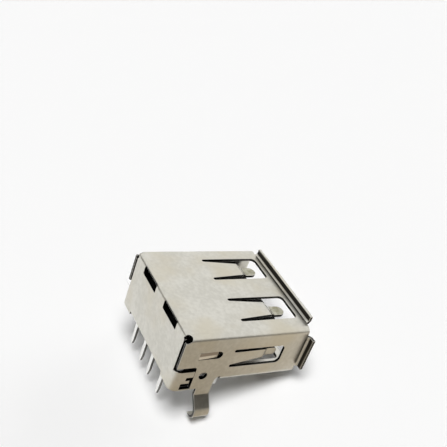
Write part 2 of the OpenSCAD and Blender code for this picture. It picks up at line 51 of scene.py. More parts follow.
# Places of the colour sockets on a Mix node, whose names other sockets share.
MIX_LOW, MIX_HIGH, MIX_COLOUR = 6, 7, 2
log = logging.getLogger("socket")

Colour = tuple[float, float, float]
Point = tuple[float, float, float]
Span = tuple[float, float]
Socket = bpy.types.NodeSocket


class Slot(Enum):
    """Material slots of the record."""

    SHELL = "shell"
    INSULATOR = "insulator"
    CONTACT = "contact"


class Axis(Enum):
    """Axes of the shared frame, by the names of their sockets."""

    X = "X"
    Y = "Y"
    Z = "Z"


class Detail(Enum):
    """How many sizes of feature a noise mixes."""

    PLAIN = 2.0
    BROKEN = 3.0
    RICH = 4.0


class SheetFace(Enum):
    """Which surface of the sheet a face belongs to, as its material index."""

    PLATED = 0
    SHEARED = 1
    ROLLED = 2
    PAD = 3
    INNER = 4
    LANCE = 5


class Graph:
    """A node graph that is built one node at a time."""

    def __init__(self, tree: bpy.types.NodeTree) -> None:
        """Start from an empty graph.

        Args:
            tree: The node tree of a material or world.
        """
        tree.nodes.clear()
        self.tree = tree

    def add(self, kind: str, inputs: dict[Any, Any] | None = None, **settings: Any) -> bpy.types.Node:
        """Add a node, set its properties, and fill its inputs with values or links.

        Args:
            kind: Blender's name of the node's type, without the ShaderNode prefix.
            inputs: Socket name or index to a value or to another node's output.
            settings: Properties of the node.

        Returns:
            The new node.
        """
        node = self.tree.nodes.new("ShaderNode" + kind)
        for name, value in settings.items():
            setattr(node, name, value)
        for key, value in (inputs or {}).items():
            if isinstance(value, Socket):
                self.tree.links.new(value, node.inputs[key])
            else:
                node.inputs[key].default_value = value
        return node

    def place(self) -> Socket:
        """The spot on the piece, in metres from the origin."""
        return self.add("TexCoord").outputs["Object"]

    def along(self, axis: Axis) -> Socket:
        """The place of the spot along an axis, in metres."""
        return self.add("SeparateXYZ", {0: self.place()}).outputs[axis.value]

    def noise(self, place: Socket, scale: float, detail: Detail) -> Socket:
        """A smooth noise from 0 to 1 whose features are about 1 / scale metres wide."""
        inputs = {"Vector": place, "Scale": scale, "Detail": detail.value}
        return self.add("TexNoise", inputs).outputs["Fac"]

    def ramp(self, value: Socket, low: float, high: float) -> Socket:
        """A value from 0 to 1 mapped to the range from low to high."""
        inputs = {"Value": value, "To Min": low, "To Max": high}
        return self.add("MapRange", inputs).outputs["Result"]

    def step(self, value: Socket, start: float, end: float) -> Socket:
        """A smooth step from 0 where the value is at start to 1 where it is at end."""
        inputs = {"Value": value, "From Min": start, "From Max": end}
        return self.add("MapRange", inputs, interpolation_type="SMOOTHSTEP").outputs["Result"]

    def blend(self, share: Socket, low: Colour | Socket, high: Colour | Socket) -> Socket:
        """Mix two colours.

        Args:
            share: From 0 for the low colour to 1 for the high one.
            low: A colour, or an output that gives one.
            high: A colour, or an output that gives one.

        Returns:
            The output with the mixed colour.
        """
        inputs = {"Factor": share}
        for key, colour in ((MIX_LOW, low), (MIX_HIGH, high)):
            inputs[key] = (*colour, 1.0) if isinstance(colour, tuple) else colour
        return self.add("Mix", inputs, data_type="RGBA").outputs[MIX_COLOUR]

    def calculate(self, operation: str, *values: Socket | float) -> Socket:
        """Work out one of Blender's named Math operations."""
        return self.add("Math", dict(enumerate(values)), operation=operation).outputs[0]

    def glow(self, colour: Colour | Socket) -> bpy.types.Node:
        """A shader that gives off one colour, whatever light falls on it."""
        emitted = (*colour, 1.0) if isinstance(colour, tuple) else colour
        return self.add("Emission", {"Color": emitted, "Strength": 1.0})

    def either(self, share: Socket, low: bpy.types.Node, high: bpy.types.Node) -> bpy.types.Node:
        """A mix of two shaders, from 0 for the low one to 1 for the high one."""
        return self.add("MixShader", {0: share, 1: low.outputs[0], 2: high.outputs[0]})

    def openness(self, shut: float, open_: float) -> Socket:
        """The baked openness as a smooth step from 0 where it is shut to 1 where it is open."""
        baked = self.add("Attribute", attribute_name=OPENNESS).outputs["Fac"]
        return self.step(baked, shut, open_)

    def relief(self, height: Socket, strength: float, depth: float) -> Socket:
        """A normal that is tilted by a height from 0 to 1, which stands for a depth in metres."""
        inputs = {"Height": height, "Strength": strength, "Distance": depth}
        return self.add("Bump", inputs).outputs[0]


class Finish:
    """Base of the finishes: each one draws its own material."""

    name: str = "finish"

    def draw(self, graph: Graph) -> bpy.types.Node:
        """Draw the finish in an empty graph and return its shader node."""
        raise NotImplementedError

    def material(self) -> bpy.types.Material:
        """Make the material.

        Returns:
            A node material with this finish.
        """
        made = bpy.data.materials.new(self.name)
        made.use_nodes = True
        graph = Graph(made.node_tree)
        shader = self.draw(graph)
        graph.add("OutputMaterial", {"Surface": shader.outputs[0]})
        return made


@dataclass(frozen=True)
class PlatedSheet(Finish):
    """Satin plating over rolled sheet: fine grain along the sheet, faint mottle and tarnish, and painted shade in
    slots and gaps.

    Attributes:
        pale: Colour where the plating is brightest.
        dull: Colour where it is dullest.
        tarnish: Colour of the broad stained patches.
        tarnish_share: Most of the tarnish's colour that a patch takes on.
        recess_shade: Colour of the painted shade in slots and gaps.
        open_range: Openness where the painted shade ends and where the plating shows its own colour.
        roughness: Lowest and highest roughness.
        grain_scale: Grain lines per metre across the rolling direction.
        grain_stretch: How much longer than wide a grain line is.
        mottle_scale: Mottle patches per metre.
        speck_scale: Specks per metre.
        tarnish_scale: Stained patches per metre.
        grain_depth: Depth of the grain in metres.
        grain_strength: Share of the grain's tilt that shows.
        bright_range: Sum of mottle and specks where the plating is dullest and where it is brightest.
        stain_range: Noise where a stain starts and where it is strongest.
    """

    pale: Colour = (0.69, 0.675, 0.615)
    dull: Colour = (0.59, 0.575, 0.515)
    tarnish: Colour = (0.6, 0.555, 0.44)
    tarnish_share: float = 0.75
    recess_shade: Colour = (0.03, 0.028, 0.025)
    open_range: Span = (0.68, 0.82)
    roughness: Span = (0.26, 0.38)
    grain_scale: float = 14000.0
    grain_stretch: float = 14.0
    mottle_scale: float = 420.0
    speck_scale: float = 2600.0
    tarnish_scale: float = 170.0
    grain_depth: float = 0.0006 * MM
    grain_strength: float = 0.5
    bright_range: Span = (0.7, 1.3)
    stain_range: Span = (0.42, 0.68)
    name: str = "plated_sheet"

    def draw(self, graph: Graph) -> bpy.types.Node:
        """Draw grain, mottle and tarnish into colour, roughness and bump.

        Args:
            graph: The empty graph of the material.

        Returns:
            The shader node.
        """
        place = graph.place()
        stretched = {"Vector": place, "Scale": (1.0, 1.0 / self.grain_stretch, 1.0)}
        grain = graph.noise(graph.add("Mapping", stretched).outputs[0], self.grain_scale, Detail.BROKEN)
        mottle = graph.noise(place, self.mottle_scale, Detail.RICH)
        specks = graph.noise(place, self.speck_scale, Detail.PLAIN)
        both = graph.calculate("ADD", mottle, specks)
        stain = graph.step(graph.noise(place, self.tarnish_scale, Detail.BROKEN), *self.stain_range)
        bright = graph.blend(graph.step(both, *self.bright_range), self.dull, self.pale)
        clean = graph.blend(graph.ramp(stain, 0.0, self.tarnish_share), bright, self.tarnish)
        return graph.add("BsdfPrincipled", {
            # Painted shade: the baked openness darkens the plating towards near-black in slots and gaps.
            "Base Color": graph.blend(graph.openness(*self.open_range), self.recess_shade, clean),
            "Metallic": 1.0,
            "Roughness": graph.ramp(mottle, *self.roughness),
            "Normal": graph.relief(grain, self.grain_strength, self.grain_depth),
        })


@dataclass(frozen=True)
class GradedShadeSheet(PlatedSheet):
    """Plating with painted shade that changes into a darker colour along an axis, as in the tube, where little
    light gets to the rear.

    Attributes:
        graded_shade: Colour of the painted shade at the end of the change.
        axis: The axis along which it changes.
        start: Where the change starts, in metres.
        end: Where it ends, in metres.
    """

    graded_shade: Colour = (0.1, 0.097, 0.086)
    axis: Axis = Axis.Y
    start: float = -11.0 * MM
    end: float = -8.5 * MM
    name: str = "inner_sheet_painted_shade"

    def draw(self, graph: Graph) -> bpy.types.Node:
        """Draw the plating and paint shade into it along the axis.

        Args:
            graph: The empty graph of the material.

        Returns:
            The shader node.
        """
        shader = super().draw(graph)
        colour = shader.inputs["Base Color"]
        # Painted shade: the colour darkens along the axis.
        share = graph.step(graph.along(self.axis), self.start, self.end)
        graph.tree.links.new(graph.blend(share, colour.links[0].from_socket, self.graded_shade), colour)
        return shader


@dataclass(frozen=True)
class PressedPad(Finish):
    """The pad at a spring's end, darker and yellower than the sheet, in patches.

    Attributes:
        dark_patch: Colour of the darker patches.
        pale: Colour elsewhere.
        roughness: Lowest and highest roughness.
        patch_scale: Darker patches per metre.
        patch_range: Noise where the darker colour ends and where the pale one starts.
    """

    dark_patch: Colour = (0.33, 0.315, 0.22)
    pale: Colour = (0.56, 0.545, 0.45)
    roughness: Span = (0.3, 0.45)
    patch_scale: float = 1600.0
    patch_range: Span = (0.35, 0.65)
    name: str = "pressed_pad"

    def draw(self, graph: Graph) -> bpy.types.Node:
        """Draw the darker patches into colour and roughness.

        Args:
            graph: The empty graph of the material.

        Returns:
            The shader node.
        """
        patch_share = graph.step(graph.noise(graph.place(), self.patch_scale, Detail.BROKEN), *self.patch_range)
        return graph.add("BsdfPrincipled", {
            "Base Color": graph.blend(patch_share, self.dark_patch, self.pale),
            "Metallic": 1.0,
            "Roughness": graph.ramp(patch_share, *self.roughness),
        })


@dataclass(frozen=True)
class ShearedEdge(Finish):
    """The cut edge of the sheet, painted near-black as shade and dark reflection with faint streaks, and darker
    still as painted shade in slots and gaps.

    Attributes:
        dark_shade: Darkest colour of the painted shade on the cut.
        dim_shade: Least dark colour of the painted shade on the cut.
        recess_shade: Colour of the painted shade in slots and gaps.
        open_range: Openness where the painted shade of slots ends and where the cut has its own painted colour.
        roughness: Lowest and highest roughness.
        streak_scale: Streaks per metre.
    """

    dark_shade: Colour = (0.02, 0.019, 0.017)
    dim_shade: Colour = (0.1, 0.095, 0.085)
    recess_shade: Colour = (0.01, 0.009, 0.008)
    open_range: Span = (0.6, 0.95)
    roughness: Span = (0.35, 0.55)
    streak_scale: float = 6000.0
    name: str = "sheared_edge"

    def draw(self, graph: Graph) -> bpy.types.Node:
        """Draw the streaks into colour and roughness.

        Args:
            graph: The empty graph of the material.

        Returns:
            The shader node.
        """
        streaks = graph.noise(graph.place(), self.streak_scale, Detail.PLAIN)
        # Painted shade: near-black colours stand in for shade and dark reflection on the cut.
        clean = graph.blend(streaks, self.dark_shade, self.dim_shade)
        return graph.add("BsdfPrincipled", {
            # Painted shade in slots and gaps, from the baked openness.
            "Base Color": graph.blend(graph.openness(*self.open_range), self.recess_shade, clean),
            "Metallic": 1.0,
            "Roughness": graph.ramp(streaks, *self.roughness),
        })


@dataclass(frozen=True)
class RolledEdge(Finish):
    """The small round where the sheet rolls over into a cut, painted a little brighter as a highlight, with
    painted shade in slots and gaps.

    Attributes:
        edge_highlight: Colour of the painted highlight.
        dull: Colour between the highlight's patches.
        recess_shade: Colour of the painted shade in slots and gaps.
        open_range: Openness where the painted shade ends and where the round shows its highlight.
        roughness: Lowest and highest roughness.
        highlight_scale: Patches of the painted highlight per metre.
    """

    edge_highlight: Colour = (0.72, 0.71, 0.66)
    dull: Colour = (0.58, 0.565, 0.51)
    recess_shade: Colour = (0.02, 0.018, 0.016)
    open_range: Span = (0.35, 0.65)
    roughness: Span = (0.25, 0.4)
    highlight_scale: float = 2500.0
    name: str = "rolled_edge"

    def draw(self, graph: Graph) -> bpy.types.Node:
        """Draw the patches of the painted highlight into colour and roughness.

        Args:
            graph: The empty graph of the material.

        Returns:
            The shader node.
        """
        highlight_share = graph.noise(graph.place(), self.highlight_scale, Detail.BROKEN)
        # Painted highlight along the round.
        clean = graph.blend(highlight_share, self.dull, self.edge_highlight)
        return graph.add("BsdfPrincipled", {
            # Painted shade in slots and gaps, from the baked openness.
            "Base Color": graph.blend(graph.openness(*self.open_range), self.recess_shade, clean),
            "Metallic": 1.0,
            "Roughness": graph.ramp(highlight_share, *self.roughness),
        })


@dataclass(frozen=True)
class WhiteMoulding(Finish):
    """White moulded plastic with a fine spark-eroded texture, and painted shade deep inside pockets and gaps.

    Attributes:
        low: Colour in the faint cloudy patches.
        high: Colour elsewhere.
        recess_shade: Colour of the painted shade deep inside pockets and gaps.
        open_range: Openness where the painted shade ends and where the plastic shows its own colour.
        roughness: Lowest and highest roughness.
        specular: Share of the usual surface reflection that the eroded texture leaves.
        cloud_scale: Cloudy patches per metre.
        texture_scale: Texture grains per metre.
        texture_depth: Depth of the texture in metres.
        texture_strength: Share of the texture's tilt that shows.
    """

    low: Colour = (0.87, 0.87, 0.85)
    high: Colour = (0.92, 0.92, 0.91)
    recess_shade: Colour = (0.012, 0.012, 0.011)
    open_range: Span = (0.2, 0.36)
    roughness: Span = (0.42, 0.55)
    specular: float = 0.15
    cloud_scale: float = 500.0
    texture_scale: float = 9000.0
    texture_depth: float = 0.002 * MM
    texture_strength: float = 0.4
    name: str = "white_moulding"

    def draw(self, graph: Graph) -> bpy.types.Node:
        """Draw the texture into bump and the clouds into colour and roughness.

        Args:
            graph: The empty graph of the material.

        Returns:
            The shader node.
        """
        place = graph.place()
        clouds = graph.noise(place, self.cloud_scale, Detail.BROKEN)
        texture = graph.noise(place, self.texture_scale, Detail.PLAIN)
        clean = graph.blend(clouds, self.low, self.high)
        return graph.add("BsdfPrincipled", {
            # Painted shade deep inside pockets and gaps, from the baked openness.
            "Base Color": graph.blend(graph.openness(*self.open_range), self.recess_shade, clean),
            "Roughness": graph.ramp(clouds, *self.roughness),
            "Specular IOR Level": self.specular,
            "Normal": graph.relief(texture, self.texture_strength, self.texture_depth),
        })


@dataclass(frozen=True)
class GiltContact(Finish):
    """Gold over nickel on the sprung beam, and dull tin on the tail below the board.

    Attributes:
        gold: Colour of the beam.
        tin: Colour of the tail.
        change_z: Height in metres where tin gives way to gold.
        change_band: Height in metres over which it does so.
        ragged: How far in metres the mottle moves that border.
        mottle_scale: Mottle patches per metre.
        roughness: Lowest and highest roughness.
    """

    gold: Colour = (0.83, 0.62, 0.25)
    tin: Colour = (0.87, 0.865, 0.84)
    change_z: float = 0.9 * MM
    change_band: float = 0.5 * MM
    ragged: float = 0.3 * MM
    mottle_scale: float = 1500.0
    roughness: Span = (0.26, 0.4)
    name: str = "gilt_contact"

    def draw(self, graph: Graph) -> bpy.types.Node:
        """Draw the change of plating by height, with a mottled edge.

        Args:
            graph: The empty graph of the material.

        Returns:
            The shader node.
        """
        mottle = graph.noise(graph.place(), self.mottle_scale, Detail.BROKEN)
        moved = graph.calculate("MULTIPLY_ADD", mottle, self.ragged, graph.along(Axis.Z))
        share = graph.step(moved, self.change_z, self.change_z + self.change_band)
        return graph.add("BsdfPrincipled", {
            "Base Color": graph.blend(share, self.tin, self.gold),
            "Metallic": 1.0,
            "Roughness": graph.ramp(mottle, *self.roughness),
        })


@dataclass(frozen=True)
class Shading:
    """Corner normals that keep flats flat and bends round.

    Attributes:
        flat_angle: Angle in degrees below which neighbouring faces are one flat.
        smooth_angle: Angle in degrees below which faces at a corner share a normal.
        least: Length below which a corner's summed normal counts as none.
    """

    flat_angle: float = 0.4
    smooth_angle: float = 40.0
    least: float = 1e-30

    def flats(self, mesh: bpy.types.Mesh, normals: np.ndarray) -> np.ndarray:
        """Number the flats of a mesh.

        Args:
            mesh: The mesh.
            normals: The normal of each face.

        Returns:
            For each face, the number of the flat that it is in.
        """
        owner = list(range(len(normals)))

        def find(i: int) -> int:
            """Follow the owners to the first face of a flat.

            Args:
                i: Number of a face.

            Returns:
                Number of the first face of its flat.
            """
            while owner[i] != i:
                owner[i] = owner[owner[i]]
                i = owner[i]
            return i

        first: dict[int, int] = {}
        limit = math.cos(math.radians(self.flat_angle))
        for face in mesh.polygons:
            for loop in face.loop_indices:
                other = first.setdefault(mesh.loops[loop].edge_index, face.index)
                if other != face.index and normals[other] @ normals[face.index] > limit:
                    owner[find(face.index)] = find(other)
        return np.array([find(i) for i in range(len(normals))])

    def apply(self, mesh: bpy.types.Mesh) -> None:
        """Give each corner the mean normal of the smooth faces round it, weighted by their flats' areas.

        Args:
            mesh: The mesh to shade.
        """
        count = len(mesh.polygons)
        normals = np.array([face.normal for face in mesh.polygons])
        areas = np.array([face.area for face in mesh.polygons])
        flats = self.flats(mesh, normals)
        weights = np.bincount(flats, areas, count)[flats] ** 2
        loop_face = np.repeat(np.arange(count), [face.loop_total for face in mesh.polygons])
        loop_vert = np.array([loop.vertex_index for loop in mesh.loops])
        limit = math.cos(math.radians(self.smooth_angle))
        corner = np.empty((len(loop_face), 3))
        order = np.argsort(loop_vert, kind="stable")
        cuts = np.flatnonzero(np.diff(loop_vert[order])) + 1
        for loops in np.split(order, cuts):
            faces = loop_face[loops]
            near = normals[faces] @ normals[faces].T > limit
            corner[loops] = (near * weights[faces]) @ normals[faces]
        corner /= np.maximum(np.linalg.norm(corner, axis=1, keepdims=True), self.least)
        mesh.polygons.foreach_set("use_smooth", np.ones(count, bool))
        mesh.normals_split_custom_set(corner.tolist())


@dataclass
class CadCopy:
    """A copy of a CAD node's mesh, welded and with its sharp edges rounded.

    Attributes:
        node: Name of the CAD node.
        slot: The record's material slot; not used.
        edge_width: Width of the round on sharp edges, in metres.
        edge_angle: Least angle in degrees of an edge that is rounded.
        segments: Faces across the round.
        weld: Distance in metres below which corners are one.
        cell: Longest stretch in metres between corners that a wide face is divided into.
        digits: Decimals of a millimetre to which the corners' levels are told apart.
        snap: Distance in metres within which a corner lies on a dividing plane.
    """

    node: str
    slot: Slot
    edge_width: float
    edge_angle: float = 35.0
    segments: int = 2
    weld: float = 0.0005 * MM
    cell: float = 0.5 * MM
    digits: int = 2
    snap: float = 0.001 * MM

    def welded(self) -> bpy.types.Mesh:
        """Copy the node's loose triangles in millimetres and weld them.

        Returns:
            A closed mesh with the faces marked and divided.
        """
        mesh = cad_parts[self.node].data.copy()
        mesh.materials.clear()
        shape = bmesh.new()
        shape.from_mesh(mesh)
        bmesh.ops.scale(shape, vec=(1 / MM,) * 3, verts=shape.verts)
        bmesh.ops.remove_doubles(shape, verts=shape.verts, dist=self.weld / MM)
        bmesh.ops.dissolve_degenerate(shape, edges=shape.edges, dist=self.weld / MM)
        self.mark(shape)
        self.divide(shape)
        shape.to_mesh(mesh)
        shape.free()
        return mesh

    def mark(self, shape: bmesh.types.BMesh) -> None:
        """Set the faces' material indices, here all to the first."""
        for face in shape.faces:
            face.material_index = 0

    def divide(self, shape: bmesh.types.BMesh) -> None:
        """Divide wide faces along planes across the axes, so that the openness can change across them.

        Each gap between neighbouring corners along an axis that is longer than a cell is divided evenly.

        Args:
            shape: The welded copy, in millimetres.
        """
        places = np.array([vert.co for vert in shape.verts])
        for axis, normal in enumerate(np.eye(3)):
            levels = np.unique(places[:, axis].round(self.digits))
            for low, high in zip(levels[:-1], levels[1:]):
                parts = math.ceil((high - low) * MM / self.cell)
                for level in np.linspace(low, high, parts + 1)[1:-1]:
                    everything = [*shape.verts, *shape.edges, *shape.faces]
                    bmesh.ops.bisect_plane(
                        shape, geom=everything, dist=self.snap / MM, plane_co=normal * level, plane_no=normal
                    )

    def finishes(self) -> list[Finish]:
        """The finishes in the order of the material indices."""
        raise NotImplementedError

    def round_index(self) -> int:
        """Material index of the rounds, or -1 for that of their neighbours."""
        return -1

    def rounded(self) -> bpy.types.Mesh:
        """Round the sharp edges of the welded copy.

        Returns:
            The rounded mesh in metres, kept inside the node's own box.
        """
        rough = bpy.data.objects.new(self.node + "_rough", self.welded())
        bpy.context.scene.collection.objects.link(rough)
        bevel = rough.modifiers.new("round", "BEVEL")
        bevel.width = self.edge_width / MM
        bevel.segments = self.segments
        bevel.limit_method = "ANGLE"
        bevel.angle_limit = math.radians(self.edge_angle)
        bevel.use_clamp_overlap = False
        bevel.miter_outer = "MITER_ARC"
        bevel.material = self.round_index()
        for finish in self.finishes():
            rough.data.materials.append(finish.material())
        graph = bpy.context.evaluated_depsgraph_get()
        mesh = bpy.data.meshes.new_from_object(rough.evaluated_get(graph), depsgraph=graph)
        bpy.data.objects.remove(rough)
        cad = corners(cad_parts[self.node].data)
        inside = np.clip(corners(mesh) * MM, cad.min(0), cad.max(0))
        mesh.vertices.foreach_set("co", inside.astype(np.float32).ravel())
        mesh.update()
        Shading().apply(mesh)
        return mesh

    def build(self) -> bpy.types.Object:
        """Stand the rounded copy in for its node.

        Returns:
            The new piece, at the origin, in metres.
        """
        mesh = self.rounded()
        piece = bpy.data.objects.new(self.node + "_piece", mesh)
        bpy.context.scene.collection.objects.link(piece)
        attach(piece, BODY)
        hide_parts(self.node)
        log.info("%s: %d faces", piece.name, len(mesh.polygons))
        return piece


@dataclass
class Shell(CadCopy):
    """The folded sheet with its springs, flap, wings and legs.

    Attributes:
        sheet_t: Thickness of the sheet in metres.
        spare: How far a wall may differ from that and still be sheet, in metres.
        skin: Depth in metres under a face from which its wall is measured.
        pad_z: Lowest and highest pad on the springs of the top, in metres.
        pad_up: Least upward part of a pad's normal.
        rim_z: Height in metres above which a level cut is the rim of the top flange, which keeps the sheet's
            plating colour instead of the painted shade of the other cuts.
        rim_up: Least upward part of that rim's normal.
        inner_reach: Distance in metres within which an inner sheet face looks at another part of the shell.
        inner_z: Height in metres below which no face is inside the tube.
        lance_z: Lowest and highest point of the lances, in metres.
        lance_y: Where their tips are, in metres.
        lance_lean: Least and greatest slope of a lance out of its wall.
    """

    node: str = "shell"
    slot: Slot = Slot.SHELL
    edge_width: float = 0.03 * MM
    sheet_t: float = 0.3 * MM
    spare: float = 0.05 * MM
    skin: float = 0.005 * MM
    pad_z: Span = (5.6 * MM, 6.15 * MM)
    pad_up: float = 0.9
    rim_z: float = 6.9 * MM
    rim_up: float = 0.7
    inner_reach: float = 13.0 * MM
    inner_z: float = 0.5 * MM
    lance_z: Span = (3.6 * MM, 4.6 * MM)
    lance_y: float = -3.1 * MM
    lance_lean: Span = (0.05, 0.07)

    def mark(self, shape: bmesh.types.BMesh) -> None:
        """Set the faces' material indices by the surface of the sheet that each belongs to.

        Args:
            shape: The welded shell, in millimetres.
        """
        tree = BVHTree.FromBMesh(shape)
        for face in shape.faces:
            face.material_index = self.surface(face, tree).value

    def surface(self, face: bmesh.types.BMFace, tree: BVHTree) -> SheetFace:
        """Tell sheet faces from cuts: a sheet face has the sheet's other side one thickness behind it.

        A sheet face that looks at the shell itself is inside the tube, one that leans in from a side wall at
        lance_z is a lance, and a level one between the two heights of pad_z is a spring's pad.

        Args:
            face: A face of the welded shell, in millimetres.
            tree: The whole shell.

        Returns:
            The surface that the face belongs to.
        """
        middle, normal = face.calc_center_median(), face.normal
        depth = tree.ray_cast(middle - normal * self.skin / MM, -normal)[3]
        if depth is None or abs(depth * MM - self.sheet_t) >= self.spare:
            rim = normal.z > self.rim_up and middle.z * MM > self.rim_z
            return SheetFace.PLATED if rim else SheetFace.SHEARED
        ahead = tree.ray_cast(middle + normal * self.spare / MM, normal)[3]
        if ahead is not None and ahead * MM < self.inner_reach and middle.z * MM > self.inner_z:
            return SheetFace.INNER
        if self.is_lance(middle, normal):
            return SheetFace.LANCE
        pad = normal.z > self.pad_up and self.pad_z[0] < middle.z * MM < self.pad_z[1]
        return SheetFace.PAD if pad else SheetFace.PLATED

    def is_lance(self, middle: Vector, normal: Vector) -> bool:
        """Tell whether an outer sheet face is a lance's.

        Args:
            middle: Middle of the face, in millimetres.
            normal: Its normal.

        Returns:
            Whether it leans as a lance does, at the place of one.
        """
        leans = self.lance_lean[0] < abs(normal.y) < self.lance_lean[1] and normal.x * middle.x > 0
        there = self.lance_z[0] < middle.z * MM < self.lance_z[1] and middle.y * MM > self.lance_y
        return leans and there

    def finishes(self) -> list[Finish]:
        """Plating, cuts painted near-black as shade, rolled edges painted brighter as a highlight, pads, the
        inside of the tube painted darker towards the rear as shade, and lances painted with a highlight below and
        shade above.

        Returns:
            The finishes in the order of SheetFace.
        """
        # Painted highlight below and painted shade above on the lances.
        lance = GradedShadeSheet(
            pale=(0.96, 0.93, 0.86),
            dull=(0.9, 0.87, 0.79),
            tarnish=(0.9, 0.84, 0.7),
            graded_shade=(0.37, 0.32, 0.27),
            axis=Axis.Z,
            start=4.0 * MM,
            end=4.16 * MM,
            name="lance_painted_highlight",
        )
        return [PlatedSheet(), ShearedEdge(), RolledEdge(), PressedPad(), GradedShadeSheet(), lance]

    def round_index(self) -> int:
        """The rounds are rolled edges."""
        return SheetFace.ROLLED.value


@dataclass
class Insulator(CadCopy):
    """The white moulding with its tongue and the hollow behind the flap's fold, which is painted near-black as
    shade.

    Attributes:
        hollow_y: Where the hollow starts, in metres.
        hollow_z: Height of its floor in metres.
    """

    node: str = "insulator"
    slot: Slot = Slot.INSULATOR
    edge_width: float = 0.04 * MM
    hollow_y: float = -1.3 * MM
    hollow_z: float = 3.4 * MM

    def mark(self, shape: bmesh.types.BMesh) -> None:
        """Tell the faces of the hollow, which are painted near-black as shade, from the rest.

        Args:
            shape: The welded moulding, in millimetres.
        """
        for face in shape.faces:
            middle = face.calc_center_median()
            hollow = middle.y > self.hollow_y / MM and middle.z > self.hollow_z / MM
            face.material_index = int(hollow)

    def finishes(self) -> list[Finish]:
        """White plastic, and in the hollow the same plastic painted near-black as shade, where little light
        reaches.
        """
        # Painted shade: the hollow's plastic gets near-black colours.
        dark = WhiteMoulding(low=(0.02, 0.02, 0.019), high=(0.03, 0.03, 0.028), specular=0.0, name="hollow_painted_shade")
        return [WhiteMoulding(), dark]


@dataclass
class Contact(CadCopy):
    """One sprung contact with its tail, stamped from sheet that lies across the row.

    Attributes:
        side_on: Least part along the row of a stamped side's normal.
    """

    node: str = "contact_1"
    slot: Slot = Slot.CONTACT
    edge_width: float = 0.02 * MM
    side_on: float = 0.7

    def mark(self, shape: bmesh.types.BMesh) -> None:
        """Tell the stamped sides, which face along the row, from the sheet.

        Args:
            shape: The welded contact, in millimetres.
        """
        for face in shape.faces:
            face.material_index = int(abs(face.normal.x) > self.side_on)

    def finishes(self) -> list[Finish]:
        """Gold above and tin below, and darker colours as painted shade on the sides that face along the row."""
        # Painted shade: darker colours on the sides that face along the row.
        return [GiltContact(), GiltContact(gold=(0.5, 0.36, 0.15), tin=(0.2, 0.195, 0.18), name="contact_side_painted_shade")]


